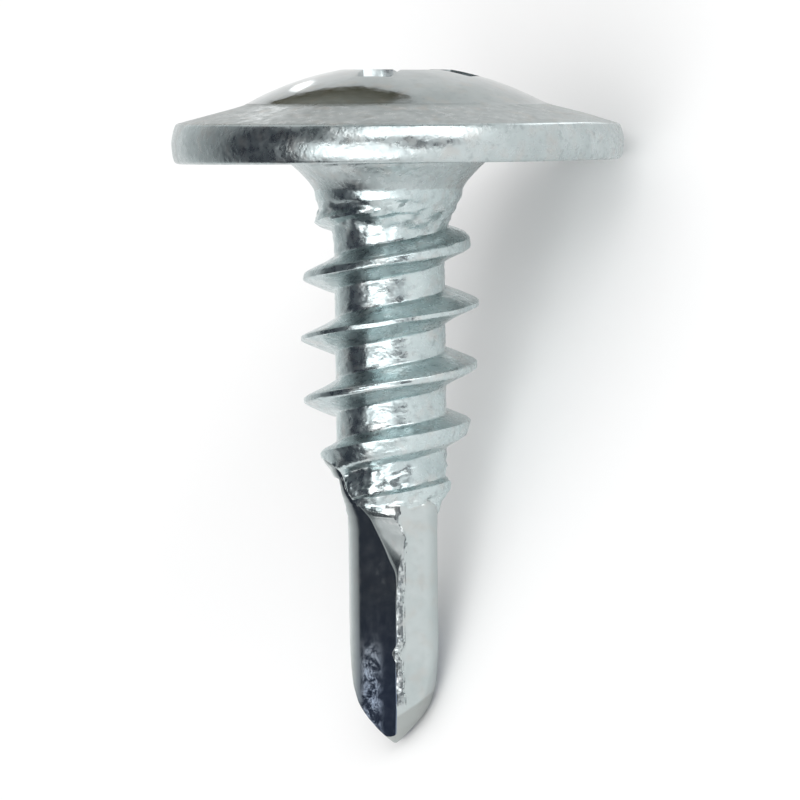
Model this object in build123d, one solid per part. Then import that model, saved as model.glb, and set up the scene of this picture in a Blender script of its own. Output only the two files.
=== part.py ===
from build123d import *
import math
import os

# A self-drilling wafer-head screw for sheet metal, cold formed in one piece from steel wire: a wide
# flange under a low dome with a cross recess, a rolled right-hand tapping thread, and a drill point
# pinched between two dies. It is drawn upright on its own axis, point down, with z = 0 at the bearing
# face under the head, and is laid down on its rim and its drill point last. Lengths are in millimetres
# and angles in degrees.

# head
flange_diameter = 10.3
flange_edge_height = 0.85  # at the rim
flange_slope = 14.5
rim_top_radius = 0.30
rim_bottom_radius = 0.20
dome_diameter = 6.9
head_height = 2.23  # to the crown that the recess cuts away
dome_blend_radius = 0.45
head_offset = 0.22  # the heading punch struck this far off the shank's axis

# cross recess
recess_span = 4.05  # over two opposite wings, at the crown
recess_depth = 1.75
wing_width = 0.9
wing_draft = 3
wing_end_taper = 26.5
pocket_top_diameter = 2.5
pocket_bottom_diameter = 1.6
pocket_tip_diameter = 0.1
pocket_tip_depth = 0.3
recess_clearance = 0.3  # the blade is drawn this far above the crown
recess_turn = -17  # of the wings about the axis

# neck and shank
neck_diameter = 4.4
collar_diameter = 3.36
collar_start = 0.62  # below the bearing face
collar_end = 1.05
core_diameter = 2.5
core_start = 1.85
collar_taper = 0.08  # on the radius
core_taper = 0.8  # length over which the core narrows to the drill
length_under_head = 13.2

# thread
thread_diameter = 4.1
thread_pitch = 1.4
flank_angle = 46  # included
crest_width = 0.09
thread_top = 0.95  # below the bearing face
thread_bottom = 7.55
thread_start_angle = 337  # about the axis, where the ridge begins at the point end
crest_outline = [  # radius of the crest at each distance below the bearing face
    (1.45, 0.55),
    (1.52, 1.15),
    (1.84, 1.85),
    (2.06, 3.0),
    (2.06, 5.1),
    (1.50, 6.65),
    (1.27, 7.95),
]

# drill point: two lands that meet at the cutting corners, with a flute pressed between them on either
# side. Each flute has a lip wall, which stands across the dies, and a back wall, which slopes out to
# the heel of the other land.
drill_width = 2.8  # over the two corners, before the lip walls are cut
drill_waist = 2.04  # over the heels
heel_radius = 0.45
back_wall_turn = 35  # of the back wall's face, from facing the front of the flute
web_thickness = 0.48
lip_offset = 0.09  # the lip wall stands this far past the axis
flute_reach = 2.2  # clear of the blank all round
flute_straight_end = 9.75
flute_end = 7.92
flute_end_root = (-0.60, 0.13)
flute_end_lip = (0.45, -2.2)
drill_top = 7.45
drill_fade = 0.6  # length over which the lands grow out of the core
drill_foot_diameter = 2.0  # of the core where it ends inside the drill
lip_point_angle = 114  # included, along the two lips
tip_flat = 0.07  # radius of the blunt end
relief_offset = 1.6  # of each land's relief axis from the screw's
relief_point_angle = 92  # included, where the backs of the lands run down to the point
relief_width = 1.13
shoulder_radius = 2.4
corner_clearance = 0.1

# rest
rest_roll = 61.1  # about the axis, on to the two edges of one flute

core_radius = core_diameter / 2
tip = -length_under_head
buried = 0.2  # how far the foot of one form reaches into the next
core_overrun = 0.08  # the core's plain length below the top of the drill
seam_angle = 200


# A solid of revolution about the axis from its half section, given as points (radius, z). Its seam is
# turned away from the ends of the thread.
def turned(points):
    section = make_face(Polyline(*points, close=True))
    return Rot(0, 0, seam_angle) * revolve(Plane.XZ * section, Axis.Z)


# The flange and dome, turned about the head's own axis.
def make_head():
    flange_radius = flange_diameter / 2
    dome_radius = dome_diameter / 2
    dome_base = flange_edge_height + (flange_radius - dome_radius) * math.tan(math.radians(flange_slope))
    rise = head_height - dome_base
    crown_radius = (dome_radius**2 + rise**2) / (2 * rise)
    rim = [(flange_radius, 0), (flange_radius, flange_edge_height)]
    outline = [
        Polyline((0, head_height), (0, 0), *rim, (dome_radius, dome_base)),
        RadiusArc((dome_radius, dome_base), (0, head_height), -crown_radius),
    ]
    section = make_face(outline)
    corners = [rim[0], rim[1], (dome_radius, dome_base)]
    for corner, radius in zip(corners, (rim_bottom_radius, rim_top_radius, dome_blend_radius)):
        section = fillet(section.vertices().sort_by_distance(corner)[0], radius)
    return revolve(Plane.XZ * section, Axis.Z)


# One pair of opposite wings of the recess: a blade that narrows downwards, through its ends and its sides.
def make_wings():
    def blade_section(depth):
        end_draft = math.tan(math.radians(wing_end_taper))
        side_draft = math.tan(math.radians(wing_draft))
        span = recess_span - 2 * depth * end_draft
        width = wing_width - 2 * depth * side_draft
        return Pos(0, 0, head_height - depth) * Rectangle(span, width)

    return loft([blade_section(recess_depth), blade_section(-recess_clearance)], ruled=True)


# The driver's cross recess, with the conical pocket that joins its four wings.
def make_recess():
    wings = make_wings()
    pocket = Pos(0, 0, head_height - recess_depth / 2) * Cone(
        pocket_bottom_diameter / 2, pocket_top_diameter / 2, recess_depth
    )
    bottom = Pos(0, 0, head_height - recess_depth - pocket_tip_depth / 2) * Cone(
        pocket_tip_diameter / 2, pocket_bottom_diameter / 2, pocket_tip_depth
    )
    return Rot(0, 0, recess_turn) * (wings + Rot(0, 0, 90) * wings + pocket + bottom)


# The neck that flares into the head, and the collar under it that narrows to the core.
def make_neck():
    collar_radius = collar_diameter / 2
    return turned(
        [
            (0, flange_edge_height / 2),
            (neck_diameter / 2, flange_edge_height / 2),
            (neck_diameter / 2, 0),
            (collar_radius, -collar_start),
            (collar_radius - collar_taper, -collar_end),
            (core_radius - buried / 2, -core_start),
            (0, -core_start),
        ]
    )


# The thread's core, and the taper that brings it down to the waist of the drill.
def make_core():
    core_length = drill_top + core_overrun
    core = Pos(0, 0, -core_length / 2) * Cylinder(core_radius, core_length)
    taper = Pos(0, 0, -core_length - core_taper / 2) * Cone(
        drill_foot_diameter / 2, core_radius, core_taper
    )
    return core + taper


# The rolled ridge: one section swept along a helix, then turned down at both ends by the run-outs.
def make_thread():
    depth = thread_diameter / 2 - core_radius
    crest = crest_width / 2
    foot = crest + (depth + buried) * math.tan(math.radians(flank_angle / 2))
    corners = [(-buried, -foot), (depth, -crest), (depth, crest), (-buried, foot)]
    profile = Plane(origin=(core_radius, 0, 0), x_dir=(1, 0, 0), z_dir=(0, -1, 0)) * make_face(
        Polyline(*corners, close=True)
    )
    ridge = sweep(profile, Helix(thread_pitch, thread_bottom - thread_top, core_radius), is_frenet=True)
    ridge = Pos(0, 0, -thread_bottom) * Rot(0, 0, thread_start_angle) * ridge
    outline = [(radius, -depth) for radius, depth in crest_outline]
    return ridge & turned([(0, outline[0][1]), *outline, (0, outline[-1][1])])


# The centre of the front land's rounded heel, which runs smoothly into the back wall behind it.
def heel_centre():
    turn = math.radians(back_wall_turn)
    x = drill_waist / 2 - heel_radius
    y = (web_thickness / 2 - heel_radius - x * math.sin(turn)) / math.cos(turn)
    return x, y


# The back of one land: a solid of revolution about its own axis, which runs down to the point over a
# rounded shoulder. It clears the heel behind the lip.
def make_relief():
    half_point = math.radians(relief_point_angle / 2)
    start = relief_width - shoulder_radius * (1 - math.cos(half_point))
    foot = (start - tip_flat) / math.tan(half_point)
    top = foot + shoulder_radius * math.sin(half_point)
    middle = (
        relief_offset + relief_width - shoulder_radius * (1 - math.cos(half_point / 2)),
        tip + top - shoulder_radius * math.sin(half_point / 2),
    )
    tip_corner = (relief_offset + tip_flat, tip)
    arc_start = (relief_offset + start, tip + foot)
    arc_end = (relief_offset + relief_width, tip + top)
    outline = [
        Polyline((0, -drill_top), (0, tip), tip_corner, arc_start),
        ThreePointArc(arc_start, middle, arc_end),
        Polyline(arc_end, (arc_end[0], -drill_top), (0, -drill_top)),
    ]
    return Pos(-relief_offset, 0, 0) * revolve(Plane.XZ * make_face(outline), Axis.Z)


# The blank of the drill: the two corners and the two rounded heels, brought to a point.
def make_drill_blank():
    corner = drill_width / 2
    x, y = heel_centre()
    hull = make_hull(
        [
            *(Pos(x, y, 0) * CenterArc((0, 0), heel_radius, 0, 360)).edges(),
            *(Pos(-x, -y, 0) * CenterArc((0, 0), heel_radius, 0, 360)).edges(),
            Line((0, -corner), (0, corner)),
        ]
    )
    length = length_under_head - drill_top
    prism = Pos(0, 0, tip) * extrude(hull, length, dir=(0, 0, 1))
    cone_height = (corner + corner_clearance - tip_flat) / math.tan(math.radians(lip_point_angle / 2))
    envelope = turned(
        [
            (0, tip),
            (tip_flat, tip),
            (corner + corner_clearance, tip + cone_height),
            (corner + corner_clearance, -drill_top - drill_fade),
            (core_radius - core_overrun, -drill_top),
            (0, -drill_top),
        ]
    )
    relief = make_relief()
    return prism & relief & Rot(0, 0, 180) * relief & envelope


# The metal-free space of one flute, on the front left: a wide trough that turns out to the surface at
# its top.
def make_flute():
    turn = math.radians(back_wall_turn)

    def back_wall(x):
        return -(web_thickness / 2 + x * math.sin(turn)) / math.cos(turn)

    def trough(z, root, lip_side):
        corners = (root, lip_side, (-flute_reach, -flute_reach), (-flute_reach, back_wall(-flute_reach)))
        return Pos(0, 0, z) * make_face(Polyline(*corners, close=True))

    root = (lip_offset, back_wall(lip_offset))
    lip_side = (lip_offset, -flute_reach)
    bottom = trough(tip - flute_reach, root, lip_side)
    upper = trough(-flute_straight_end, root, lip_side)
    top = trough(-flute_end, flute_end_root, flute_end_lip)
    return loft([bottom, upper], ruled=True) + loft([upper, top], ruled=True)


# The drill with both flutes, and the core above it.
def make_drill():
    drill = make_core() + make_drill_blank()
    for turn in (0, 180):
        drill -= Rot(0, 0, turn) * make_flute()
    return drill


# A solid drawn upright, rolled about the axis and laid over with its head end raised by the lean.
def laid(solid, lean):
    return Rot(lean - 90, 0, 0) * Rot(0, 0, rest_roll) * solid


# The lean at which the rim and the drill reach down to the same floor.
def settled_lean(head, drill):
    def reach(solid, lean):
        return -laid(solid, lean).bounding_box().min.Z

    lean = 20
    drop_per_degree = math.radians(length_under_head)
    for _ in range(6):
        lean += (reach(head, lean) - reach(drill, lean)) / drop_per_degree
    return lean


head = Pos(head_offset, 0, 0) * (make_head() - make_recess())
drill = make_drill()
screw = laid(drill + make_thread() + make_neck() + head, settled_lean(head, drill))
box = screw.bounding_box()
screw = Pos(-box.center().X, -box.center().Y, -box.min.Z) * screw

os.makedirs("parts", exist_ok=True)
screw.label = "screw"
export_step(screw, "parts/screw.step")
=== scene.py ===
import math

import bmesh
import bpy
from mathutils import Matrix, Vector, noise


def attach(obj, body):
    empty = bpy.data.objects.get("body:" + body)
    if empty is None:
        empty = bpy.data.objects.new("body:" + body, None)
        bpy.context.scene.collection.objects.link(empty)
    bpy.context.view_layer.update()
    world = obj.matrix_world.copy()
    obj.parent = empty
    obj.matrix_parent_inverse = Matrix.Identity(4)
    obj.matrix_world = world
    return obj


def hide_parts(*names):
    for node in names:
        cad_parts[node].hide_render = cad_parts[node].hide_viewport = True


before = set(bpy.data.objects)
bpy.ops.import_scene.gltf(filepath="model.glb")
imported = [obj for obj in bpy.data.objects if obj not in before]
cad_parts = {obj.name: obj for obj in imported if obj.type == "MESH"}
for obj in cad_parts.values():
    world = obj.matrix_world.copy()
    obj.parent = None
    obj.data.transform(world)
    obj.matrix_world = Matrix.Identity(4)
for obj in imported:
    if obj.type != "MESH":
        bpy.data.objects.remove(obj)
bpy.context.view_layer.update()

# The screw is modelled upright in millimetres, its point down, with z = 0 at the bearing face under
# the head and its front towards -Y. This matrix lays it on its rim and its drill point, in metres.
rest = dict(lean=20.8273, roll=61.1, shift=(-0.106322, 4.846045, 4.935455), metres=0.001)
leanOver = Matrix.Rotation(math.radians(rest["lean"] - 90), 4, "X")
turnOver = leanOver @ Matrix.Rotation(math.radians(rest["roll"]), 4, "Z")
layDown = Matrix.Scale(rest["metres"], 4) @ Matrix.Translation(rest["shift"]) @ turnOver

weldGap = 1e-5  # points nearer than this become one in a finished piece
sameGap = 1e-4  # and nearer than this while it is shaped
sharpAngle = 38  # edges that turn by more are shaded sharp


# small helpers for curves and forms
def blendAlong(table, x):
    # in-between value of a table of (position, value), its positions rising, straight from one to the next
    if x <= table[0][0]:
        return table[0][1]
    for (x0, y0), (x1, y1) in zip(table, table[1:]):
        if x < x1:
            t = (x - x0) / (x1 - x0)
            return y0 + (y1 - y0) * t
    return table[-1][1]


def smoothMax(a, b, k):
    # the larger of two values, eased where they are within k of each other
    h = max(k - abs(a - b), 0) / k
    return max(a, b) + h * h * k / 4


def smoothMin(a, b, k):
    return -smoothMax(-a, -b, k)


def ramp(x, low, high):
    # 0 below low, 1 above high, smooth between
    t = min(max((x - low) / (high - low), 0), 1)
    return t * t * (3 - 2 * t)


def rough(x, y, z, size, seed=0):
    # noise from about -1 to 1 with bumps of this size, another pattern for each seed
    return noise.noise(Vector((x / size + seed * 7.3, y / size - seed * 3.1, z / size + seed * 11.7)))


def onCircle(centre, radius, degrees):
    turn = math.radians(degrees)
    return centre[0] + radius * math.cos(turn), centre[1] + radius * math.sin(turn)


def arcPoints(centre, radius, start, end, steps):
    return [onCircle(centre, radius, start + (end - start) * i / steps) for i in range(steps + 1)]


def spinLine(form, points, steps, turns=1, rise=0.0, merge=True):
    # join the points to a line and turn it about the upright axis, rising by so much at each step
    for a, b in zip(points, points[1:]):
        form.edges.new((a, b))
    bmesh.ops.spin(
        form, geom=form.verts[:] + form.edges[:], cent=(0, 0, 0), axis=(0, 0, 1), dvec=(0, 0, rise),
        angle=2 * math.pi * turns, steps=steps * turns, use_merge=merge, use_normal_flip=False,
        use_duplicate=False,
    )


def turnForm(form, degrees):
    turned = Matrix.Rotation(math.radians(degrees), 3, "Z")
    bmesh.ops.rotate(form, verts=form.verts, cent=(0, 0, 0), matrix=turned)


def vertsOf(made):
    return [v for v in made if isinstance(v, bmesh.types.BMVert)]


def newPiece(name, form, materials):
    bmesh.ops.remove_doubles(form, verts=form.verts, dist=weldGap)
    bmesh.ops.recalc_face_normals(form, faces=form.faces)
    mesh = bpy.data.meshes.new(name)
    form.to_mesh(mesh)
    form.free()
    for material in materials:
        mesh.materials.append(material)
    piece = bpy.data.objects.new(name, mesh)
    bpy.context.scene.collection.objects.link(piece)
    return piece


def steelPiece(name, form, finish):
    # every piece of the screw carries the same list of finishes, so that joining keeps them apart
    for face in form.faces:
        face.material_index = list(zinc).index(finish(face) if callable(finish) else finish)
    return newPiece(name, form, zinc.values())


def combine(body, tool, operation):
    join = body.modifiers.new("join", "BOOLEAN")
    join.operation = operation
    join.solver = "MANIFOLD"
    join.object = tool
    result = bpy.data.meshes.new_from_object(body.evaluated_get(bpy.context.evaluated_depsgraph_get()))
    body.modifiers.clear()
    body.data = result
    bpy.data.objects.remove(tool)
    print("  ", operation.lower(), "->", len(result.polygons), "faces")


# the zinc plate, by the tool that shaped the steel under it
zinc = {}
for finish in ("head", "flange", "dome", "shank", "drill", "bead", "flute", "recess"):
    zinc[finish] = bpy.data.materials.new(finish + "Zinc")


# shank: neck, thread and core in one helical sweep of the thread's own section
shank = dict(
    pitch=1.4, stepsPerTurn=132, turns=8, turnsBelow=6, startAngle=90, core=1.25,
    top=0.42, bottom=-8.6, neckEnd=-0.62, crestAtRight=-1.86,
    # the ridge before its crest is turned down, and how its crest and root are rounded
    crestHalf=0.045, flankHalfAngle=23.0, ridgeHeight=0.80, ridgeFoot=-0.5, rootBlend=0.07, crestBlend=0.10,
    # places along the axis that the swept section has points at, on either side of the crest
    section=[0.0, 0.02, 0.045, 0.07, 0.11, 0.17, 0.24, 0.30, 0.34, 0.365, 0.39, 0.42, 0.47, 0.54, 0.62, 0.70],
    # radius of the crest at each depth
    crest=[(0.5, 1.40), (1.15, 1.62), (1.83, 1.84), (2.64, 1.97), (3.2, 2.045), (4.0, 2.045), (4.62, 1.96),
           (5.41, 1.985), (6.0, 1.78), (6.87, 1.54), (7.46, 1.45), (7.66, 1.32), (7.95, 1.235), (8.3, 1.0)],
    # radius of the body under the thread, from the neck to where it hides in the drill
    body=[(-0.42, 2.30), (0.0, 2.25), (0.08, 2.168), (0.19, 2.043), (0.33, 1.907), (0.465, 1.793),
          (0.6, 1.70), (0.74, 1.650), (0.86, 1.615), (0.90, 1.595), (1.01, 1.555), (1.15, 1.487),
          (1.28, 1.40), (1.42, 1.33), (1.6, 1.285), (1.85, 1.25), (7.55, 1.25), (7.75, 1.21), (7.95, 1.13),
          (8.2, 1.02), (8.5, 0.92), (9.0, 0.88)],
    # a point this high above the body counts wholly as ridge, which leans a little and wanders
    ridgeFull=0.3, ridgeTilt=0.022, ridgeWander=0.016, ridgeRipple=0.02,
    # the fin beside the front flute: depths, height over the drill's heel, fades across and backwards
    finDepths=(6.8, 8.0), finProud=0.015, finAcross=(0.75, 1.1), finBehind=(0.1, 0.9),
    # hammered core, and streaks that fade in towards both ends of the thread
    hammer=0.013, hammerSize=0.24, hammerOnNeck=0.25, hammerOffRidge=0.75,
    streak=0.055, streakTop=(1.2, 2.1), streakBottom=(6.2, 6.9), streakOffRidge=0.4,
    neckCalm=(0.78, 0.95), drillCalm=(7.65, 7.9), drillCalmShare=0.7,
    # the wavy step where the rolling dies first bit the collar
    stepDepth=0.87, stepWave=0.035, stepHeight=0.03, stepHalf=0.02, stepFade=(0.6, 0.8),
)

# flute cutters: what the dies press away in front of each lip, and the narrow run-out up the core's side
flute = dict(
    reach=2.3, wallTurn=35.0, web=0.24, top=6.72,
    # the cutter's levels: from depth, to depth, number of steps
    levels=[(13.8, 8.1, 125), (8.1, 7.6, 40), (7.6, 6.72, 24)],
    lipSteps=16, lipCrowding=1.6, rootSteps=10, wallSteps=22, heelSteps=12,
    heelRadius=[(6.72, 0.95), (6.85, 0.95), (6.95, 0.75), (7.1, 0.58), (7.24, 0.50), (7.46, 0.48),
                (7.8, 0.70), (8.1, 0.95)],
    heelSweep=55, heelGap=0.03, endRise=0.25,
    # how far the wall and its heel have moved out again at each depth
    out=[(6.72, 0.66), (6.80, 0.57), (6.87, 0.52), (7.0, 0.386), (7.14, 0.32), (7.275, 0.21), (7.41, 0.164),
         (7.55, 0.143), (7.69, 0.10), (7.96, 0.06), (8.37, 0.0)],
    rootRadius=[(7.8, 0.03), (8.0, 0.08), (8.2, 0.10), (8.7, 0.22), (9.05, 0.24), (9.3, 0.14), (9.7, 0.10)],
    rootMost=0.55, rootShare=0.8,
    rootPath=[(6.72, -1.56), (6.84, -1.36), (6.96, -1.22), (7.08, -1.14), (7.24, -1.09), (7.46, -1.02),
              (7.616, -0.94), (7.75, -0.83), (7.85, -0.72), (7.95, -0.62), (8.1, -0.50), (8.5, -0.31),
              (8.8, -0.16), (9.05, -0.05), (9.3, 0.02), (9.75, 0.05)],
    # below these depths the root stands straight under the lip
    straight=(9.0, 9.5), straightRoot=0.09,
    # the rolled edge round the top, from the run-out down to the cutting lip
    lipPath=[(6.72, -1.54), (6.84, -1.34), (6.96, -1.20), (7.08, -1.12), (7.24, -1.065), (7.46, -1.00),
             (7.616, -0.915), (7.75, -0.79), (7.82, -0.69), (7.89, -0.45), (7.956, -0.17), (8.0, -0.07),
             (8.05, 0.01)],
    lipHeight=-1.25, lipWaves=[(0.012, 0.09, 12), (0.01, 0.2, 13)],
    rollHeight=0.05, rollWidth=0.045, rollAway=0.045, rollFrom=7.0, rollTo=8.3, rollAcross=(-0.30, -0.10),
    rollRight=0.2, rollBehind=-0.4,
    # the small step in the lip fades out down the lip wall
    nick=[(10.9, 0.0), (11.02, -0.063), (11.12, -0.12), (11.3, -0.027), (11.6, 0.0)], nickFade=(0.95, 1.22),
    # the wall's faint waves, and small pimples on it: place across, depth
    wave=0.003, pimpleHeight=0.010, pimpleSize=0.045,
    pimples=[(-0.74, 8.14), (-0.39, 9.32), (-0.26, 9.55), (-0.55, 10.6), (-0.62, 11.3)],
)


def rolledUp(x, y, depth):
    # the metal rolled up along the top of either flute and beside its run-out
    if y > 0:
        x, y = -x, -y
    outside = depth < flute["top"] or depth > flute["rollTo"]
    if outside or x > flute["rollRight"] or y > flute["rollBehind"]:
        return 0
    away = math.inf
    for (d0, x0), (d1, x1) in zip(flute["lipPath"], flute["lipPath"][1:]):
        t = ((depth - d0) * (d1 - d0) + (x - x0) * (x1 - x0)) / ((d1 - d0) ** 2 + (x1 - x0) ** 2)
        t = min(max(t, 0), 1)
        away = min(away, math.hypot(depth - d0 - t * (d1 - d0), x - x0 - t * (x1 - x0)))
    share = ramp(depth, flute["top"], flute["rollFrom"]) * (1 - ramp(x, *flute["rollAcross"]))
    return share * flute["rollHeight"] * math.exp(-(((away - flute["rollAway"]) / flute["rollWidth"]) ** 2))


def shapeShank(vert, ridge):
    x, y, z = vert.co
    angle = math.atan2(y, x)
    depth = -z
    body = blendAlong(shank["body"], depth)
    crest = blendAlong(shank["crest"], depth)
    radius = smoothMin(shank["core"] + ridge, crest, shank["crestBlend"])
    onRidge = ramp(radius - body, 0.0, shank["ridgeFull"])
    radius = smoothMax(body, radius, shank["rootBlend"])
    # the thread's last ridge is drawn down into a fin beside the front flute
    finTop, finBottom = shank["finDepths"]
    if x < 0 and finTop < depth < finBottom:
        fin = drill["waist"] + shank["finProud"] + blendAlong(flute["out"], depth)
        behind = 1 - ramp(y, *shank["finBehind"])
        radius += max(fin - radius, 0) * ramp(-x, *shank["finAcross"]) * behind
    runOut = max(1 - ramp(depth, *shank["streakTop"]), ramp(depth, *shank["streakBottom"]))
    # coarse and finer dents, and streaks drawn out round the core that climb with the thread
    dent = rough(x, y, z, shank["hammerSize"]) + 0.5 * rough(x, y, z, shank["hammerSize"] / 2.2, 1)
    across, along = math.cos(angle), math.sin(angle)
    streak = rough(across * 1.5, along * 1.5, (z - 0.8 * angle / 6.283) * 3.0, 0.42, 2)
    streak += 0.4 * rough(across * 3.5, along * 3.5, z * 3.0, 0.30, 19)
    below = ramp(depth, *shank["neckCalm"])
    calm = 1 - shank["drillCalmShare"] * ramp(depth, *shank["drillCalm"])
    hammer = shank["hammerOnNeck"] + (1 - shank["hammerOnNeck"]) * below
    radius += shank["hammer"] * dent * hammer * (1 - shank["hammerOffRidge"] * onRidge) * calm
    radius += shank["streak"] * streak * runOut * below * (1 - shank["streakOffRidge"] * onRidge) * calm
    edge = shank["stepDepth"] + shank["stepWave"] * rough(across * 2, along * 2, 0, 0.8, 16)
    aboveStep = 1 - ramp(depth, edge - shank["stepHalf"], edge + shank["stepHalf"])
    radius += shank["stepHeight"] * aboveStep * ramp(depth, *shank["stepFade"])
    radius += rolledUp(radius * across, radius * along, depth)
    radius += shank["ridgeRipple"] * rough(x, y, z, 0.5, 3) * onRidge
    vert.co.x, vert.co.y = radius * across, radius * along
    wander = shank["ridgeWander"] * rough(x, y, z, 0.7, 4) * onRidge
    vert.co.z += shank["ridgeTilt"] * vert.co.x * onRidge + wander


def makeShank():
    form = bmesh.new()
    pitch, steps = shank["pitch"], shank["stepsPerTurn"]
    slope = math.tan(math.radians(shank["flankHalfAngle"]))
    places = [-s for s in reversed(shank["section"][1:])] + shank["section"]
    startAngle = math.radians(shank["startAngle"])
    startZ = shank["crestAtRight"] + pitch * startAngle / (2 * math.pi) - shank["turnsBelow"] * pitch
    ridgeLayer = form.verts.layers.float.new("ridge")
    points = []
    for s in places:
        ridge = shank["ridgeHeight"] - max(abs(s) - shank["crestHalf"], 0) / slope
        radius = shank["core"] + max(ridge, shank["ridgeFoot"])
        point = form.verts.new((radius * math.cos(startAngle), radius * math.sin(startAngle), startZ + s))
        point[ridgeLayer] = ridge
        points.append(point)
    spinLine(form, points, steps, turns=shank["turns"], rise=pitch / steps, merge=False)
    bmesh.ops.remove_doubles(form, verts=form.verts, dist=sameGap)
    for vert in form.verts:
        shapeShank(vert, vert[ridgeLayer])
    for level, up in ((shank["top"], 1), (shank["bottom"], -1)):
        bmesh.ops.bisect_plane(
            form, geom=form.verts[:] + form.edges[:] + form.faces[:], plane_co=(0, 0, level),
            plane_no=(0, 0, up), clear_outer=True,
        )
        rim = [e for e in form.edges if e.is_boundary and all(abs(v.co.z - level) < sameGap for v in e.verts)]
        bmesh.ops.holes_fill(form, edges=rim, sides=0)
    form.verts.layers.float.remove(form.verts.layers.float["ridge"])
    # the neck is finished as the head is
    return steelPiece(
        "shank", form, lambda face: "head" if face.calc_center_median().z > shank["neckEnd"] else "shank"
    )


# drill point: a blank with two corners and two rounded heels, relieved behind the lips
drill = dict(
    top=-7.2, tip=-13.2,
    # levels stand closer together towards the tip, and steps round it near the two cutting edges
    levels=150, levelSpread=(0.55, 0.45), around=168, crowding=0.72, crowdTurn=0.06,
    corner=1.31, waist=1.02, heelRadius=0.45, wallTurn=35.0, web=0.24, hullReach=70,
    # the land bows out a little behind the cutting edge: height, middle, narrowness, end in degrees
    landBow=0.025, bowMiddle=24, bowNarrow=2.2, bowEnd=60,
    # share of its full width at each depth, where it grows out of the core
    fade=[(7.2, 0.80), (7.5, 0.88), (7.6, 0.93), (7.76, 0.995), (7.9, 1.0)],
    # the corner wanders a little above the lip: degrees back, swing, size, fades round and down
    cornerBack=2.5, cornerSwing=6, cornerSize=0.12, cornerRound=(8, 25), cornerDown=(8.0, 8.3),
    # above the lip the corner rises gently out of the round core: depth, drop, two fades round
    shoulderTo=8.4, shoulderDrop=0.15, shoulderShare=0.3, shoulderNear=(0, 20), shoulderFar=(16, 32),
    # backs of the lands, as radius at each height over the tip about the relief's own axis
    reliefOffset=1.6, reliefBlend=0.05,
    relief=[(0.0, 0.06), (0.10, 0.17), (0.238, 0.31), (0.375, 0.45), (0.511, 0.575), (0.647, 0.685),
            (0.783, 0.78), (0.919, 0.86), (1.192, 0.96), (1.45, 1.02), (1.74, 1.06), (2.1, 1.11),
            (2.4, 1.16)],
    pointHalfAngle=55.5, tipFlat=0.03, pointBlend=0.03,
    # how far the lip stands to the right of the axis at each depth
    lipEdge=[(7.4, -0.25), (7.7, -0.19), (7.9, -0.14), (8.0, -0.07), (8.05, 0.0), (8.23, 0.13), (8.48, 0.235),
             (8.62, 0.235), (9.05, 0.15), (9.23, 0.12), (9.9, 0.075), (10.9, 0.065), (11.02, 0.0),
             (11.12, -0.06), (11.3, 0.03), (11.6, 0.045), (12.4, 0.05), (13.3, 0.02)],
    # the bead of metal squeezed out along each cutting edge, nicked all along and ending in a small step
    beadWidth=0.155, beadHeight=0.046, beadFrom=7.96, beadGrow=0.3, beadTo=12.33, beadEnd=0.1, grainFrom=8.15,
    beadNarrow=0.45, beadWiden=(8.6, 9.6), beadFacing=0.85, beadLeft=-0.9, beadRight=1.2, grainRight=1.0,
    beadRound=0.95, nickMiddle=0.50, nickMost=1.1, stepWidth=0.07, stepDeep=0.008,
    # the faint edge across the land where the back of the lip was struck
    crease=0.010, creaseDepth=12.6, creaseSlant=0.67, creaseHalf=0.05,
    unevenness=0.004,
)


def heelCentre():
    turn = math.radians(drill["wallTurn"])
    x = drill["waist"] - drill["heelRadius"]
    return x, (drill["web"] - drill["heelRadius"] - x * math.sin(turn)) / math.cos(turn)


def makeHull():
    # the blank's radius at each whole degree round from the front, from its widths in every direction
    hx, hy = heelCentre()
    reach = []
    for degree in range(360):
        a = math.radians(degree)
        nx, ny = math.sin(a), -math.cos(a)
        corner = abs(ny) * drill["corner"]
        heel = max(nx * hx + ny * hy, -nx * hx - ny * hy) + drill["heelRadius"]
        bow = 0
        if 0 < degree % 180 < drill["bowEnd"]:
            turn = math.radians(degree % 180 - drill["bowMiddle"]) * drill["bowNarrow"]
            bow = drill["landBow"] * max(0, math.cos(turn))
        reach.append(max(corner, heel) + bow)
    hull = []
    for degree in range(360):
        near = range(-drill["hullReach"], drill["hullReach"] + 1)
        hull.append(min(reach[(degree + d) % 360] / math.cos(math.radians(d)) for d in near))
    return hull


def beadHeightAt(past, side, z, depth):
    # past is the place across the bead, from 0 at the lip to 1 at its foot
    length = ramp(depth, drill["beadFrom"], drill["beadFrom"] + drill["beadGrow"])
    length *= 1 - ramp(depth, drill["beadTo"] - drill["beadEnd"], drill["beadTo"])
    nick = drill["nickMiddle"] + 1.5 * rough(past * 0.1, 3 * side, z, 0.15, 6)
    nick += 0.5 * rough(past * 0.15, side, z, 0.07, 7)
    swell = 0
    if past < drill["beadRound"]:
        swell = math.sqrt(max(1 - (2 * max(past, 0) - drill["beadRound"]) ** 2, 0))
    step = math.exp(-(((past - 1.0) / drill["stepWidth"]) ** 2))
    height = drill["beadHeight"] * min(max(nick, 0.0), drill["nickMost"]) * swell
    return length * (height - drill["stepDeep"] * step)


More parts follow.
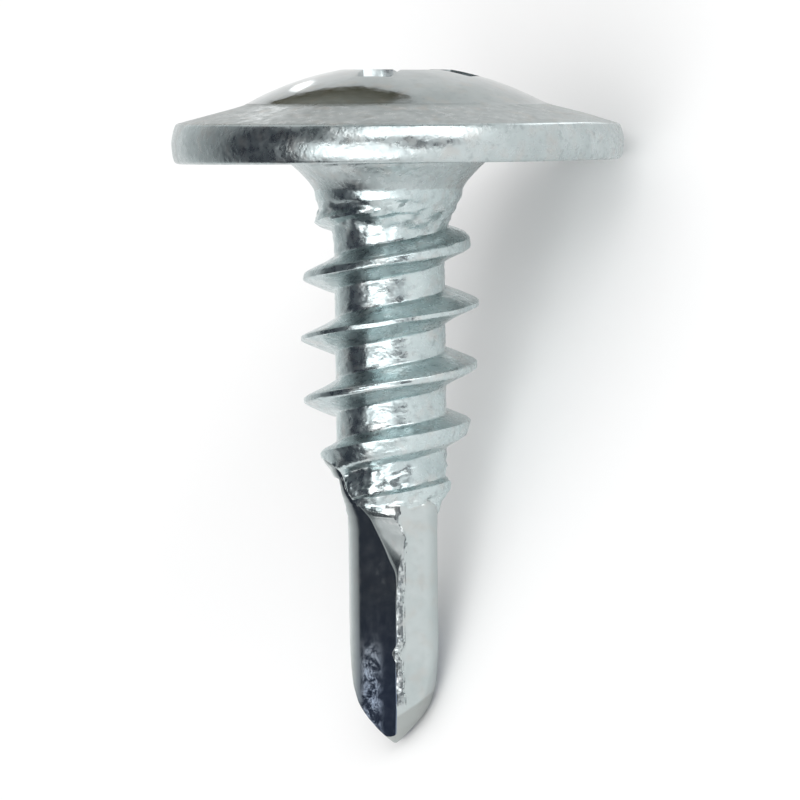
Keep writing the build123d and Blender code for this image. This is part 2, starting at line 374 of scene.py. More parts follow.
def shapeDrill(vert, hull):
    # shapes one point and says whether it lies on the bead
    x, y, z = vert.co
    around = math.atan2(x, -y) % (2 * math.pi)
    depth, height = -z, z - drill["tip"]
    degree = math.degrees(around)
    near = 1 - ramp(min(degree % 180, 180 - degree % 180), *drill["cornerRound"])
    wander = drill["cornerBack"] + drill["cornerSwing"] * rough(0, 0, z, drill["cornerSize"], 17)
    degree = (degree - near * wander * (1 - ramp(depth, *drill["cornerDown"]))) % 360
    low = int(degree) % 360
    radius = hull[low] + (hull[(low + 1) % 360] - hull[low]) * (degree - int(degree))
    fade = blendAlong(drill["fade"], depth)
    radius *= fade
    left = 180 - degree % 180
    if left < drill["shoulderFar"][1] and depth < drill["shoulderTo"]:
        drop = drill["shoulderShare"] * ramp(left, *drill["shoulderNear"]) + ramp(left, *drill["shoulderFar"])
        radius = max(radius, drill["corner"] * fade - drill["shoulderDrop"] * drop)
    aside = abs(math.sin(around)) * drill["reliefOffset"]
    reliefRadius = drill["reliefOffset"] + blendAlong(drill["relief"], height)
    relief = -aside + math.sqrt(aside * aside - drill["reliefOffset"] ** 2 + reliefRadius**2)
    cone = drill["tipFlat"] + height * math.tan(math.radians(drill["pointHalfAngle"]))
    radius = smoothMin(radius, relief, drill["reliefBlend"])
    radius = smoothMin(radius, cone, drill["pointBlend"])
    side = 1 if math.cos(around) > 0 else -1
    width = drill["beadNarrow"] + (1 - drill["beadNarrow"]) * ramp(depth, *drill["beadWiden"])
    width *= drill["beadWidth"] * (1 + 0.3 * rough(0, side, z, 0.30, 5))
    past = (radius * math.sin(around) * side - blendAlong(drill["lipEdge"], depth)) / width
    nearLip = abs(math.cos(around)) > drill["beadFacing"] and past > drill["beadLeft"]
    if nearLip and past < drill["beadRight"]:
        radius += beadHeightAt(past, side, z, depth)
    across = radius * math.sin(around) * side
    if across > 0:
        creaseDepth = drill["creaseDepth"] - drill["creaseSlant"] * across
        struck = ramp(depth, creaseDepth - drill["creaseHalf"], creaseDepth + drill["creaseHalf"])
        radius -= drill["crease"] * struck
    radius += drill["unevenness"] * rough(x, y, z, 0.45, 8)
    vert.co.x, vert.co.y = radius * math.sin(around), -radius * math.cos(around)
    return nearLip and past < drill["grainRight"] and drill["grainFrom"] < depth < drill["beadTo"]


def makeDrill():
    form = bmesh.new()
    even, crowded = drill["levelSpread"]
    points = []
    for i in range(drill["levels"] + 1):
        t = i / drill["levels"]
        z = drill["tip"] + (drill["top"] - drill["tip"]) * (even * t + crowded * t * t)
        points.append(form.verts.new((0, -1, z)))
    spinLine(form, points, drill["around"])
    hull = makeHull()
    for vert in form.verts:
        turn = math.atan2(vert.co.x, -vert.co.y)
        turn -= drill["crowding"] / 2 * math.sin(2 * (turn - drill["crowdTurn"]))
        vert.co.x, vert.co.y = math.sin(turn), -math.cos(turn)
        vert.tag = shapeDrill(vert, hull)
    bmesh.ops.holes_fill(form, edges=[e for e in form.edges if e.is_boundary], sides=0)
    return steelPiece("drill", form, lambda face: "bead" if all(v.tag for v in face.verts) else "drill")


def fluteSection(depth):
    # points round the trough: down the lip wall, round the root, out along the back wall and over the heel
    wallTurn, out = math.radians(flute["wallTurn"]), blendAlong(flute["out"], depth)
    nick = blendAlong(flute["nick"], depth)

    def wallY(x):
        return -(flute["web"] + (x + out) * math.sin(wallTurn)) / math.cos(wallTurn)

    def outwards(turn):
        return Vector((math.sin(turn), math.cos(turn)))

    if depth < flute["lipPath"][-1][0]:
        edge = blendAlong(flute["lipPath"], depth)
    else:
        edge = blendAlong(drill["lipEdge"], depth) - nick
    lipX = edge
    for height, size, seed in flute["lipWaves"]:
        lipX += height * rough(0, 0, depth, size, seed)
    straight = ramp(depth, *flute["straight"])
    rootX = blendAlong(flute["rootPath"], depth) * (1 - straight)
    rootX += min(edge, flute["straightRoot"]) * straight
    root = Vector((rootX, wallY(rootX)))
    # the heel is a ball rolled along the back wall
    room = (rootX - flute["heelGap"] + drill["waist"] + out) / (1 - math.sin(wallTurn))
    radius = min(blendAlong(flute["heelRadius"], depth), room)
    ballX = radius - drill["waist"] - out
    ball = Vector((ballX, wallY(ballX) + radius / math.cos(wallTurn)))
    heelStart = ball - radius * outwards(wallTurn)
    slope = (lipX - rootX) / (flute["lipHeight"] - root.y)
    lipTop = Vector((rootX + slope * (-flute["reach"] - root.y), -flute["reach"]))
    toLip, toWall = (lipTop - root).normalized(), (heelStart - root).normalized()
    cut = blendAlong(flute["rootRadius"], depth) / math.tan(toLip.angle(toWall) / 2)
    cut = min(cut, flute["rootMost"], flute["rootShare"] * (heelStart - root).length)
    a, b = root + toLip * cut, root + toWall * cut
    points = []
    for i in range(flute["lipSteps"]):
        point = lipTop.lerp(a, 1 - (1 - i / flute["lipSteps"]) ** flute["lipCrowding"])
        point.x += nick * ramp(-point.y, *flute["nickFade"])
        points.append(point)
    for i in range(flute["rootSteps"]):
        t = i / flute["rootSteps"]
        points.append(a.lerp(root, t).lerp(root.lerp(b, t), t))
    for i in range(flute["wallSteps"]):
        p = b.lerp(heelStart, i / flute["wallSteps"])
        swell = flute["wave"] * (rough(p.x, 0, depth, 0.50, 9) + 0.3 * rough(p.x, 0, depth, 0.2, 10))
        for x, level in flute["pimples"]:
            away = ((p.x - x) ** 2 + (depth - level) ** 2) / flute["pimpleSize"] ** 2
            swell += flute["pimpleHeight"] * math.exp(-away)
        points.append(p - outwards(wallTurn) * swell)
    for i in range(flute["heelSteps"] + 1):
        turn = wallTurn + math.radians(flute["heelSweep"]) * i / flute["heelSteps"]
        points.append(ball - radius * outwards(turn))
    points.append(Vector((-flute["reach"], points[-1].y + flute["endRise"])))
    points.append(Vector((-flute["reach"], -flute["reach"])))
    return points


def makeFlute(turn):
    form = bmesh.new()
    depths = []
    for start, end, steps in flute["levels"]:
        depths += [start - (start - end) * i / steps for i in range(steps)]
    depths.append(flute["top"])
    count = len(fluteSection(depths[0]))
    ring = bmesh.ops.create_circle(form, cap_ends=True, segments=count, radius=1)["verts"]
    ring.sort(key=lambda v: math.atan2(v.co.y, v.co.x))
    face = form.faces[:][0]
    for i, depth in enumerate(depths):
        if i:
            made = bmesh.ops.extrude_face_region(form, geom=[face])["geom"]
            above = {}
            for v in vertsOf(made):
                below = [e.other_vert(v) for e in v.link_edges if e.other_vert(v) in ring]
                above[below[0]] = v
            if i > 1:
                bmesh.ops.delete(form, geom=[face], context="FACES_ONLY")
            ring = [above[v] for v in ring]
            face = [f for f in made if isinstance(f, bmesh.types.BMFace)][0]
        for vert, point in zip(ring, fluteSection(depth)):
            vert.co = (point.x, point.y, -depth)
    turnForm(form, turn)
    return steelPiece("fluteCutter", form, "flute")


# head: flange, rounded rim and low dome, turned about the head's own axis
head = dict(
    offset=0.22, radius=5.145, slope=14.5, domeRadius=3.45, crown=2.225, steps=180,
    # the barrelled rim: height of its middle, its radius, where it ends below and above, its top edge
    rimHeight=0.427, rimRound=1.18, rimLow=-17, rimHigh=21.5, rimTop=0.10,
    # steps along the underside, the three arcs of the rim, the flange and the dome
    underSteps=28, lowSteps=8, rimSteps=12, highSteps=6, flangeSteps=14, domeSteps=44,
    # how often the hollow where the dome springs from the flange is eased, and how many points to each side
    easing=2, easingReach=2,
    # the top is tilted, the dome struck off centre and the right-hand edge a little low
    topFrom=(0.3, 0.9), topTilt=-0.0061, tiltAbout=-5.0, domeShift=-0.05, domeFrom=(1.1, 1.5),
    rightDrop=0.04, rightFrom=(4.1, 5.1),
    # shallow dents and flats all over, deeper on the rim
    dents=0.010, dentsOffRim=0.25, dentsOnTop=0.6, dentsOver=0.9, rimFrom=(4.6, 5.1),
    # what is finished as flange or dome lies above and within these
    finishAbove=0.7, finishWithin=5.0, domeEdge=0.06,
)


def headOutline():
    # from the middle of the underside, round the barrelled rim, up the flange and over the dome
    low, high, steps = head["rimLow"], head["rimHigh"], head["flangeSteps"]
    barrel = (head["radius"] - head["rimRound"], head["rimHeight"])
    lowEnd, highEnd = onCircle(barrel, head["rimRound"], low), onCircle(barrel, head["rimRound"], high)
    rimBottom = lowEnd[1] / (1 + math.sin(math.radians(low)))
    lowCentre, highCentre = onCircle(lowEnd, -rimBottom, low), onCircle(highEnd, -head["rimTop"], high)
    points = [(lowCentre[0] * i / head["underSteps"], 0) for i in range(head["underSteps"])]
    points += arcPoints(lowCentre, rimBottom, -90, low, head["lowSteps"])
    points += arcPoints(barrel, head["rimRound"], low, high, head["rimSteps"])[1:]
    points += arcPoints(highCentre, head["rimTop"], high, 90 - head["slope"], head["highSteps"])[1:]
    x0, z0 = points[-1]
    domeBase = z0 + (x0 - head["domeRadius"]) * math.tan(math.radians(head["slope"]))
    for i in range(1, steps + 1):
        points.append((x0 + (head["domeRadius"] - x0) * i / steps, z0 + (domeBase - z0) * i / steps))
    corner = len(points) - 1
    rise = head["crown"] - domeBase
    ball = (head["domeRadius"] ** 2 + rise**2) / (2 * rise)
    for i in range(1, head["domeSteps"]):
        x = head["domeRadius"] * (1 - i / head["domeSteps"])
        points.append((x, head["crown"] - ball + math.sqrt(ball**2 - x * x)))
    points.append((0, head["crown"]))
    first, last = corner - head["easingReach"], corner + head["easingReach"]
    for _ in range(head["easing"]):
        heights = [z for x, z in points]
        for i in range(first, last + 1):
            points[i] = (points[i][0], (heights[i - 1] + 2 * heights[i] + heights[i + 1]) / 4)
    return points


def headFinish(face):
    place = face.calc_center_median()
    away = math.hypot(place.x - head["offset"], place.y)
    if place.z < head["finishAbove"] or away > head["finishWithin"]:
        return "head"
    return "dome" if away < head["domeRadius"] - head["domeEdge"] else "flange"


def makeHead():
    form = bmesh.new()
    spinLine(form, [form.verts.new((r, 0, z)) for r, z in headOutline()], head["steps"])
    bmesh.ops.remove_doubles(form, verts=form.verts, dist=sameGap)
    for vert in form.verts:
        x, y, z = vert.co
        radius = math.hypot(x, y)
        onTop = ramp(z, *head["topFrom"])
        vert.co.z += head["topTilt"] * (x - head["tiltAbout"]) * onTop
        vert.co.x += head["domeShift"] * ramp(z, *head["domeFrom"])
        vert.co.z -= head["rightDrop"] * ramp(x, *head["rightFrom"]) * onTop
        onRim = ramp(radius, *head["rimFrom"])
        dent = rough(x, y, z * 1.5, 0.42, 14) + 0.5 * rough(x, y, z, 0.17, 15)
        share = head["dentsOffRim"] + (1 - head["dentsOffRim"]) * onRim
        sink = head["dents"] * share * (dent - head["dentsOver"])
        if radius > weldGap:
            vert.co.x += sink * onRim * x / radius
            vert.co.y += sink * onRim * y / radius
        vert.co.z += sink * (1 - onRim) * onTop * head["dentsOnTop"]
        vert.co.z = max(vert.co.z, 0)
    bmesh.ops.translate(form, verts=form.verts, vec=(head["offset"], 0, 0))
    return steelPiece("head", form, headFinish)


# cross recess: two tapered blades and the pocket that joins them
recess = dict(
    span=4.05, depth=1.75, width=0.9, sideDraft=3.0, endTaper=26.5, turn=-17.0, above=0.5,
    corner=0.10, cornerSteps=4, pocketTop=1.25, pocketBottom=0.8, pocketSides=64,
    # the pocket's wall stands steeper near the crown, and its floor is a blunt cone
    collar=1.195, collarDepth=0.45, tipDepth=0.3, tipShare=0.08,
)


def makeBlade(turn):
    form = bmesh.new()
    bmesh.ops.create_cube(form, size=2)
    endDraft = math.tan(math.radians(recess["endTaper"]))
    sideDraft = math.tan(math.radians(recess["sideDraft"]))
    for vert in form.verts:
        depth = recess["depth"] if vert.co.z < 0 else -recess["above"]
        vert.co.x *= recess["span"] / 2 - depth * endDraft
        vert.co.y *= recess["width"] / 2 - depth * sideDraft
        vert.co.z = head["crown"] - depth
    upright = [e for e in form.edges if abs(e.verts[0].co.z - e.verts[1].co.z) > 1]
    bmesh.ops.bevel(
        form, geom=upright, offset=recess["corner"], affect="EDGES", segments=recess["cornerSteps"],
        profile=0.5, material=-1,
    )
    turnForm(form, turn)
    bmesh.ops.translate(form, verts=form.verts, vec=(head["offset"], 0, 0))
    return steelPiece("blade", form, "recess")


def makePocket():
    form = bmesh.new()
    bmesh.ops.create_cone(
        form, cap_ends=True, segments=recess["pocketSides"], radius1=recess["pocketBottom"],
        radius2=recess["pocketTop"], depth=recess["depth"],
    )
    level = recess["depth"] / 2 - recess["collarDepth"]
    ring = vertsOf(bmesh.ops.bisect_plane(
        form, geom=form.verts[:] + form.edges[:] + form.faces[:], plane_co=(0, 0, level), plane_no=(0, 0, 1)
    )["geom_cut"])
    wider = recess["collar"] / math.hypot(ring[0].co.x, ring[0].co.y)
    bmesh.ops.scale(form, verts=ring, vec=(wider, wider, 1))
    floor = [f for f in form.faces if f.calc_center_median().z < -0.5 and len(f.verts) > 4]
    lower = vertsOf(bmesh.ops.extrude_face_region(form, geom=floor)["geom"])
    bmesh.ops.delete(form, geom=floor, context="FACES_ONLY")
    bmesh.ops.scale(form, verts=lower, vec=(recess["tipShare"], recess["tipShare"], 1))
    bmesh.ops.translate(form, verts=lower, vec=(0, 0, -recess["tipDepth"]))
    middle = head["crown"] - recess["depth"] / 2
    bmesh.ops.translate(form, verts=form.verts, vec=(head["offset"], 0, middle))
    return steelPiece("pocket", form, "recess")


print("modelling the screw")
screw = makeShank()
print("  shank", len(screw.data.polygons))
combine(screw, makeDrill(), "UNION")
for turn in (0, 180):
    combine(screw, makeFlute(turn), "DIFFERENCE")
headPiece = makeHead()
for turn in (0, 90):
    combine(headPiece, makeBlade(turn + recess["turn"]), "DIFFERENCE")
combine(headPiece, makePocket(), "DIFFERENCE")
combine(screw, headPiece, "UNION")
screw.name = screw.data.name = "selfDrillingScrew"
screw.data.transform(layDown)
for polygon in screw.data.polygons:
    polygon.use_smooth = True
screw.data.set_sharp_from_angle(angle=math.radians(sharpAngle))
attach(screw, "root")
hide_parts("screw")


# materials
def nodesOf(material):
    material.use_nodes = True
    tree = material.node_tree
    tree.nodes.clear()
    return tree


def addNode(tree, kind, settings=None, **inputs):
    # inputs are named for their sockets, or _0, _1 and so on by their numbers
    node = tree.nodes.new(kind)
    for key, value in (settings or {}).items():
        setattr(node, key, value)
    for key, value in inputs.items():
        socket = node.inputs[int(key[1:])] if key[0] == "_" else node.inputs[key.replace("_", " ")]
        if isinstance(value, bpy.types.NodeSocket):
            tree.links.new(value, socket)
        else:
            socket.default_value = value
    return node


def addMath(tree, operation, *values):
    inputs = {"_%d" % i: value for i, value in enumerate(values)}
    return addNode(tree, "ShaderNodeMath", {"operation": operation}, **inputs).outputs[0]


def addNoise(tree, place, **inputs):
    return addNode(tree, "ShaderNodeTexNoise", Vector=place, **inputs).outputs["Fac"]


def addBump(tree, height, depth, **inputs):
    # depth in millimetres
    return addNode(
        tree, "ShaderNodeBump", Strength=1.0, Distance=depth * rest["metres"], Height=height, **inputs
    ).outputs["Normal"]


def mixColours(tree, share, first, second):
    return addNode(tree, "ShaderNodeMix", {"data_type": "RGBA"}, _0=share, _6=first, _7=second).outputs[2]


def mapRange(tree, value, start, end, low=0.0, high=1.0, easing="LINEAR"):
    return addNode(
        tree, "ShaderNodeMapRange", {"interpolation_type": easing}, Value=value,
        _1=start, _2=end, _3=low, _4=high,
    ).outputs["Result"]


def maskRamp(tree, value, start, end, most=1.0):
    # black up to start, rising to the grey called most at end
    node = addNode(tree, "ShaderNodeValToRGB", Fac=value)
    for element, position, grey in zip(node.color_ramp.elements, (start, end), (0, most)):
        element.position = position
        element.color = (grey, grey, grey, 1)
    return node.outputs["Color"]


def uprightPlace(tree):
    # the surface's own place in the upright screw, in millimetres
    return addNode(
        tree, "ShaderNodeMapping", {"vector_type": "TEXTURE"},
        Vector=addNode(tree, "ShaderNodeTexCoord").outputs["Object"],
        Location=[s * rest["metres"] for s in rest["shift"]], Rotation=turnOver.to_euler("XYZ")[:],
        Scale=(rest["metres"],) * 3,
    ).outputs["Vector"]


def heightAndAside(tree):
    # how high on the upright screw a place is, and how far to either side of its middle
    place = addNode(tree, "ShaderNodeSeparateXYZ", Vector=uprightPlace(tree))
    return place.outputs["Z"], addMath(tree, "ABSOLUTE", place.outputs["X"])


def newGroup(name, inputs, output):
    # a shared effect: inputs are (name, default), the one output is (name, kind)
    group = bpy.data.node_groups.new(name, "ShaderNodeTree")
    for title, value in inputs:
        kind = "NodeSocketColor" if isinstance(value, tuple) else "NodeSocketFloat"
        group.interface.new_socket(title, in_out="INPUT", socket_type=kind).default_value = value
    group.interface.new_socket(output[0], in_out="OUTPUT", socket_type=output[1])
    return group, addNode(group, "NodeGroupInput").outputs, addNode(group, "NodeGroupOutput").inputs


print("mixing the zinc finishes")

# colour of the plate: pale and darker clouds, warmer patches and small dull spots
plateColour, given, result = newGroup(
    "plateColour",
    [("Light", (0.49, 0.54, 0.53, 1)), ("Dark", (0.42, 0.48, 0.47, 1)), ("Warm", (0.47, 0.47, 0.44, 1)),
     ("Spots", 1.0)],
    ("Color", "NodeSocketColor"),
)
place = uprightPlace(plateColour)
clouds = addNoise(plateColour, place, Scale=1.1, Detail=3.0, Roughness=0.55)
tints = addNoise(plateColour, place, Scale=2.6, Detail=2.0)
spots = addNoise(plateColour, place, Scale=5.5, Detail=4.0, Roughness=0.6)
colour = mixColours(plateColour, maskRamp(plateColour, clouds, 0.36, 0.62), given["Dark"], given["Light"])
colour = mixColours(plateColour, maskRamp(plateColour, tints, 0.52, 0.78, 0.8), colour, given["Warm"])
spotShare = addMath(plateColour, "MULTIPLY", maskRamp(plateColour, spots, 0.54, 0.80, 0.55), given["Spots"])
colour = mixColours(plateColour, spotShare, colour, (0.20, 0.24, 0.25, 1))
plateColour.links.new(colour, result["Color"])

# how blurred the plate's reflections are
plateRough, given, result = newGroup(
    "plateRough", [("Low", 0.12), ("High", 0.26)], ("Value", "NodeSocketFloat")
)
grain = addNoise(plateRough, uprightPlace(plateRough), Scale=5.0, Detail=3.0)
plateRough.links.new(mapRange(plateRough, grain, 0.35, 0.65, given["Low"], given["High"]), result["Value"])

# soft dents left under the plate, and the finer orange peel of the plate itself
dieMarks, given, result = newGroup(
    "dieMarks", [("Size", 7.0), ("Stretch", 1.0)], ("Height", "NodeSocketFloat")
)
squeeze = addNode(dieMarks, "ShaderNodeCombineXYZ", X=1.0, Y=1.0, Z=given["Stretch"]).outputs[0]
place = addNode(
    dieMarks, "ShaderNodeVectorMath", {"operation": "MULTIPLY"}, _0=uprightPlace(dieMarks), _1=squeeze
).outputs[0]
marks = addNoise(dieMarks, place, Scale=given["Size"], Detail=1.0, Roughness=0.45)
dieMarks.links.new(marks, result["Height"])

# a mask for colour painted below an edge that may slant down from the middle to both sides: painted shade on
# the drill's lands, and on the flute a blue tint that is partly the plate's own and partly a painted sheen
slantedPaintedLightAndTint, given, result = newGroup(
    "slantedPaintedLightAndTint", [("Slant", 0.0), ("From", -9.0), ("To", -10.0), ("Share", 1.0)],
    ("Mask", "NodeSocketFloat"),
)
height, aside = heightAndAside(slantedPaintedLightAndTint)
level = addMath(slantedPaintedLightAndTint, "MULTIPLY_ADD", aside, given["Slant"], height)
paintedLightAndTintMask = mapRange(slantedPaintedLightAndTint, level, given["From"], given["To"], 0.0, given["Share"])
slantedPaintedLightAndTint.links.new(paintedLightAndTintMask, result["Mask"])

# mark and peel depths in millimetres, and their sizes as bumps to the millimetre
usual = dict(spots=1.0, stretch=1.0)
finishes = dict(
    head=dict(
        light=(0.515, 0.57, 0.575), dark=(0.44, 0.495, 0.50), warm=(0.49, 0.49, 0.475), low=0.23, high=0.35,
        markSize=8.5, markDepth=0.0065, peelSize=20.0, peelDepth=0.0018,
    ),
    flange=dict(
        light=(0.375, 0.41, 0.41), dark=(0.31, 0.345, 0.345), warm=(0.37, 0.36, 0.33), low=0.27, high=0.40,
        markSize=5.0, markDepth=0.0040, peelSize=18.0, peelDepth=0.0006,
    ),
    dome=dict(
        light=(0.375, 0.41, 0.41), dark=(0.31, 0.345, 0.345), warm=(0.37, 0.36, 0.33), low=0.09, high=0.14,
        markSize=3.5, markDepth=0.0030, peelSize=18.0, peelDepth=0.00012,
    ),
    shank=dict(
        light=(0.60, 0.68, 0.685), dark=(0.51, 0.59, 0.60), warm=(0.58, 0.59, 0.58), low=0.22, high=0.34,
        markSize=6.5, markDepth=0.0086, peelSize=13.0, peelDepth=0.0018, stretch=1.5,
    ),
    # the back of the lip, below a slanting edge, is painted darker: painted shade
    drill=dict(
        light=(0.54, 0.59, 0.59), dark=(0.49, 0.545, 0.545), warm=(0.52, 0.52, 0.50), low=0.16, high=0.25,
        markSize=2.2, markDepth=0.0024, peelSize=14.0, peelDepth=0.0001, spots=0.25,
        slant=-0.67, patchFrom=-12.57, patchTo=-12.63, paintedLightAndTint=(0.37, 0.395, 0.385), patchShare=0.85,
    ),
    # metal squeezed out of the dies: grains of the plate's colour on a dark ground
    bead=dict(
        light=(0.56, 0.60, 0.60), dark=(0.46, 0.50, 0.51), warm=(0.50, 0.49, 0.49), low=0.26, high=0.40,
        markSize=7.0, markDepth=0.0090, peelSize=16.0, peelDepth=0.0008, spots=0.5,
        grainSize=7.5, ground=(0.17, 0.19, 0.20),
    ),
    # the flute is bluer towards the point, partly the plate's own tint and partly a painted blue sheen, with
    # a wavy streak of bloom down its middle
    flute=dict(
        light=(0.58, 0.62, 0.62), dark=(0.53, 0.57, 0.57), warm=(0.56, 0.56, 0.56), low=0.14, high=0.22,
        markSize=3.0, markDepth=0.0007, peelSize=16.0, peelDepth=0.00010, spots=0.3,
        slant=0.0, patchFrom=-9.8, patchTo=-12.0, paintedLightAndTint=(0.43, 0.52, 0.67), patchShare=0.9,
        inner=(0.92, 0.66), rippleSize=8.0, rippleDepth=0.0100, bloom=0.90, bloomSize=3.4,
        streak=0.53, streakWidth=0.33, streakFrom=-10.6, streakTo=-11.6,
    ),
    recess=dict(
        light=(0.50, 0.55, 0.56), dark=(0.38, 0.43, 0.44), warm=(0.46, 0.46, 0.45), low=0.14, high=0.26,
        markSize=6.0, markDepth=0.0010, peelSize=20.0, peelDepth=0.0002,
    ),
)


def dress(material, finish):
    tree = nodesOf(material)

    def shared(group, **inputs):
        return addNode(tree, "ShaderNodeGroup", {"node_tree": group}, **inputs).outputs[0]

    colour = shared(
        plateColour, Light=(*finish["light"], 1), Dark=(*finish["dark"], 1), Warm=(*finish["warm"], 1),
        Spots=finish["spots"],
    )
    gloss = shared(plateRough, Low=finish["low"], High=finish["high"])
    marks = shared(dieMarks, Size=finish["markSize"], Stretch=finish["stretch"])
    peel = shared(dieMarks, Size=finish["peelSize"], Stretch=finish["stretch"])
    bump = addBump(tree, marks, finish["markDepth"])
    bump = addBump(tree, peel, finish["peelDepth"], Normal=bump)
    metal = 1.0
    # the painted patch: painted shade on the drill, and on the flute a blue tint, partly the plate's own and
    # partly a painted sheen
    if "paintedLightAndTint" in finish:
        mask = shared(
            slantedPaintedLightAndTint, Slant=finish["slant"], From=finish["patchFrom"], To=finish["patchTo"],
            Share=finish["patchShare"],
        )
        if "inner" in finish:
            height, aside = heightAndAside(tree)
            mask = addMath(tree, "MULTIPLY", mask, mapRange(tree, aside, *finish["inner"]))
        colour = mixColours(tree, mask, colour, (*finish["paintedLightAndTint"], 1))
    if "grainSize" in finish:
        grains = addNoise(tree, uprightPlace(tree), Scale=finish["grainSize"], Detail=2.0)
        colour = mixColours(tree, maskRamp(tree, grains, 0.42, 0.58), (*finish["ground"], 1), colour)
    if "bloom" in finish:
        # a streak down the middle of the flute, from part of the way down: small ripples under a thin
        # whitish bloom in patches
        height, aside = heightAndAside(tree)
        away = addMath(tree, "ABSOLUTE", addMath(tree, "SUBTRACT", aside, finish["streak"]))
        inside = mapRange(tree, away, finish["streakWidth"], 0.0, easing="SMOOTHSTEP")
        below = mapRange(tree, height, finish["streakFrom"], finish["streakTo"], easing="SMOOTHSTEP")
        streak = addMath(tree, "MULTIPLY", inside, below)
        ripples = addMath(tree, "MULTIPLY", shared(dieMarks, Size=finish["rippleSize"]), streak)
        bump = addBump(tree, ripples, finish["rippleDepth"], Normal=bump)
        bloom = addNoise(
            tree, uprightPlace(tree), Scale=finish["bloomSize"], Detail=5.0, Roughness=0.78, Distortion=0.35
        )
        share = addMath(tree, "MULTIPLY", maskRamp(tree, bloom, 0.44, 0.62), streak)
        metal = addMath(tree, "MULTIPLY_ADD", share, -finish["bloom"], 1.0)
    shader = addNode(
        tree, "ShaderNodeBsdfPrincipled", Base_Color=colour, Metallic=metal, Roughness=gloss, Normal=bump
    )
    addNode(tree, "ShaderNodeOutputMaterial", Surface=shader.outputs["BSDF"])


for finish, material in zinc.items():
    dress(material, {**usual, **finishes[finish]})


# studio: a pale floor, soft lamps, dark cards for the metal to reflect, and the camera
print("setting up the studio")
front = turnOver.to_3x3() @ Vector((0, -1, 0))
right = turnOver.to_3x3() @ Vector((1, 0, 0))
axis = turnOver.to_3x3() @ Vector((0, 0, 1))
middle = layDown @ Vector((0.2017, 0, -5.4168))  # what the camera looks at

studio = dict(
    floorSize=3.0, floorColour=(0.92, 0.92, 0.92), floorRoughness=0.8, worldStrength=0.80,
    # name: turn from the front to the right, lift towards the head, distance, width, height, radiance
    lamps=dict(
        keyBox=(-23, -12, 0.42, 0.36, 0.25, 2.1),
        topBox=(10, 32, 0.42, 0.52, 0.24, 2.2),
    ),
    # the same, with the colours of the left and right ends in place of the radiance
    cards=dict(
        sideCard=(-74, -12, 0.30, 0.255, 0.80, (0.032, 0.038, 0.052), (0.032, 0.038, 0.052)),
        shoulderCard=(-42, 27, 0.36, 0.15, 0.25, (0.05, 0.06, 0.07), (0.09, 0.10, 0.11)),
        sideWall=(-122, 0, 0.30, 0.36, 0.60, (1.04, 1.06, 1.06), (0.15, 0.16, 0.17)),
        lensCard=(15, 8, 0.36, 0.20, 0.17, (0.09, 0.09, 0.11), (0.07, 0.07, 0.09)),
        lensFade=(19, -13, 0.38, 0.24, 0.14, (2.0, 2.0, 2.0), (1.0, 1.0, 1.0)),
        sillCard=(-2, 9.5, 0.34, 0.55, 0.09, (0.12, 0.13, 0.14), (0.10, 0.11, 0.12)),
        topCard=(10, 61, 0.34, 0.50, 0.17, (0.19, 0.25, 0.255), (0.25, 0.31, 0.315)),
    ),
    # a dark box on the floor beyond the head: direction round from +X, distance, width, bottom and top, and
    # the colours there
    darkBox=(134, 0.10, 0.062, 0.003, 0.029, (0.085, 0.075, 0.04), (0.55, 0.54, 0.49)),
    # small bright panes near the head: the place they shine on, then turn, lift and distance from there,
    # length, width, turn in their own plane and light
    panes=dict(
        domeGlint=((-1.878, -1.281, 1.776), -172.12, 21.70, 0.020, 0.0044, 0.0012, 67, 2.3),
        recessGlint=((-0.45, 1.0, 2.1), 79, 9, 0.006, 0.0084, 0.0026, 0, 2.2),
    ),
    paneSides=48,
    # the camera: lens and sensor in mm, width of the view at the screw in m, roll and lift, clip distances
    lens=600, sensor=36, viewWidth=0.01816, roll=0.7, lift=1.6, clip=(0.01, 10),
)


def facing(turn, lift):
    turn, lift = math.radians(turn), math.radians(lift)
    return math.cos(lift) * (math.cos(turn) * front + math.sin(turn) * right) + math.sin(lift) * axis


def standing(side, up, back):
    # the turn that brings +X to the side, +Y up and +Z to the back
    return Matrix((side, up, back)).transposed().to_4x4()


def aimed(direction, distance, centre=middle):
    back = direction.normalized()
    side = axis.cross(back).normalized()
    return Matrix.Translation(centre + back * distance) @ standing(side, back.cross(side), back)


def stageCard(name, form, place, leftShade, rightShade):
    # a glowing card that only reflections see, shaded from its left to its right end
    bmesh.ops.transform(form, verts=form.verts, matrix=place)
    cardMaterial = bpy.data.materials.new(name)
    tree = nodesOf(cardMaterial)
    ends = addNode(tree, "ShaderNodeSeparateXYZ", Vector=addNode(tree, "ShaderNodeTexCoord").outputs["UV"])
    shade = mixColours(tree, ends.outputs["X"], (*leftShade, 1), (*rightShade, 1))
    glow = addNode(tree, "ShaderNodeEmission", Color=shade, Strength=1.0)
    addNode(tree, "ShaderNodeOutputMaterial", Surface=glow.outputs["Emission"])
    card = newPiece(name, form, [cardMaterial])
    card.visible_camera = card.visible_diffuse = card.visible_shadow = False


def makeCard(width, height, sides=4):
    # a rectangle, or an ellipse where it has more sides
    form = bmesh.new()
    form.loops.layers.uv.new("ends")
    if sides == 4:
        bmesh.ops.create_grid(form, x_segments=1, y_segments=1, size=0.5, calc_uvs=True)
    else:
        bmesh.ops.create_circle(form, cap_ends=True, segments=sides, radius=0.5, calc_uvs=True)
    bmesh.ops.scale(form, verts=form.verts, vec=(width, height, 1))
    return form


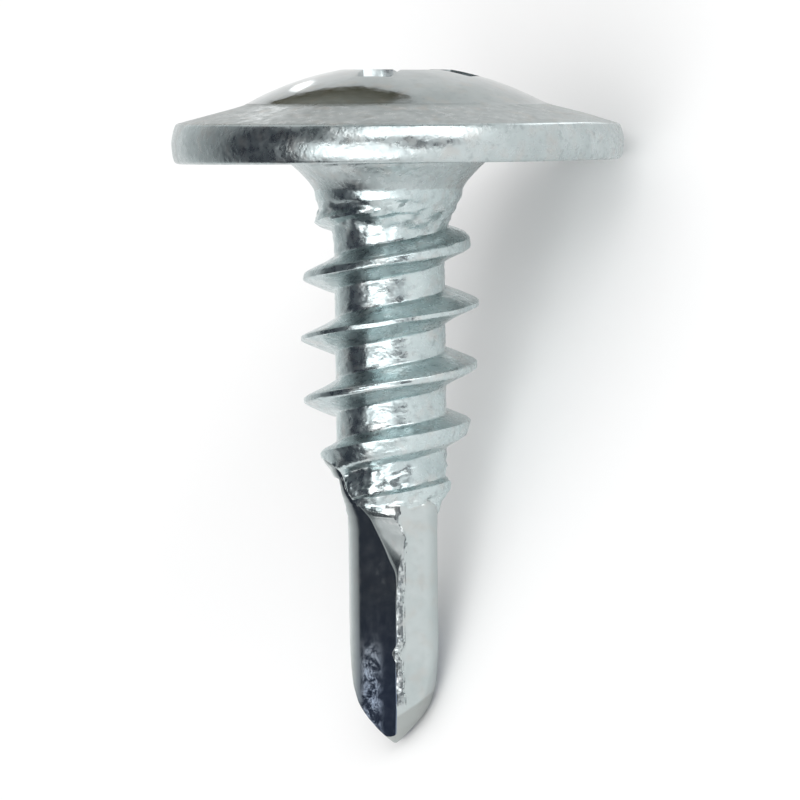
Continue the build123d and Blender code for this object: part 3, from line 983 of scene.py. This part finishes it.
floorForm = bmesh.new()
bmesh.ops.create_grid(floorForm, x_segments=2, y_segments=2, size=studio["floorSize"] / 2)
floorMaterial = bpy.data.materials.new("paleFloor")
floorTree = nodesOf(floorMaterial)
floorShader = addNode(
    floorTree, "ShaderNodeBsdfPrincipled", Base_Color=(*studio["floorColour"], 1),
    Roughness=studio["floorRoughness"], Specular_IOR_Level=0.0,
)
addNode(floorTree, "ShaderNodeOutputMaterial", Surface=floorShader.outputs["BSDF"])
floor = newPiece("floor", floorForm, [floorMaterial])

for name, (turn, lift, distance, width, height, radiance) in studio["lamps"].items():
    lamp = bpy.data.lights.new(name, "AREA")
    lamp.shape = "RECTANGLE"
    lamp.size, lamp.size_y = width, height
    lamp.energy = radiance * math.pi * width * height
    lampObject = bpy.data.objects.new(name, lamp)
    bpy.context.scene.collection.objects.link(lampObject)
    lampObject.matrix_world = aimed(facing(turn, lift), distance)
    lampObject.visible_camera = False

for name, (turn, lift, distance, width, height, leftShade, rightShade) in studio["cards"].items():
    stageCard(name, makeCard(width, height), aimed(facing(turn, lift), distance), leftShade, rightShade)

turn, away, width, low, high, lowShade, highShade = studio["darkBox"]
boxPlace = Matrix.Rotation(math.radians(turn), 4, "Z") @ Matrix.Translation((away, 0, (low + high) / 2))
boxPlace = boxPlace @ Matrix.Rotation(math.radians(-90), 4, "Y")
stageCard("darkBox", makeCard(high - low, width), boxPlace, lowShade, highShade)

for name, (spot, turn, lift, away, length, width, ownTurn, light) in studio["panes"].items():
    pane = makeCard(length, width, studio["paneSides"])
    turnForm(pane, ownTurn)
    stageCard(name, pane, aimed(facing(turn, lift), away, layDown @ Vector(spot)), (light,) * 3, (light,) * 3)

world = bpy.data.worlds.new("studioRoom")
bpy.context.scene.world = world
world.use_nodes = True
background = world.node_tree.nodes["Background"].inputs
background["Color"].default_value = (1, 1, 1, 1)
background["Strength"].default_value = studio["worldStrength"]

camera = bpy.data.cameras.new("camera")
camera.lens = studio["lens"]
camera.sensor_width = studio["sensor"]
camera.clip_start, camera.clip_end = studio["clip"]
cameraObject = bpy.data.objects.new("camera", camera)
bpy.context.scene.collection.objects.link(cameraObject)
roll, lift = math.radians(studio["roll"]), math.radians(studio["lift"])
imageRight = math.cos(roll) * right - math.sin(roll) * axis
imageUp = math.sin(roll) * right + math.cos(roll) * axis
cameraBack = math.cos(lift) * front + math.sin(lift) * imageUp
distance = studio["viewWidth"] * studio["lens"] / studio["sensor"]
cameraObject.matrix_world = (
    Matrix.Translation(middle + cameraBack * distance)
    @ standing(imageRight, cameraBack.cross(imageRight), cameraBack)
)
bpy.context.scene.camera = cameraObject

bpy.context.scene.view_settings.view_transform = "Standard"

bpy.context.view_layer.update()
triangles = sum(len(polygon.vertices) - 2 for polygon in screw.data.polygons)
print("faces", len(screw.data.polygons), "triangles", triangles)
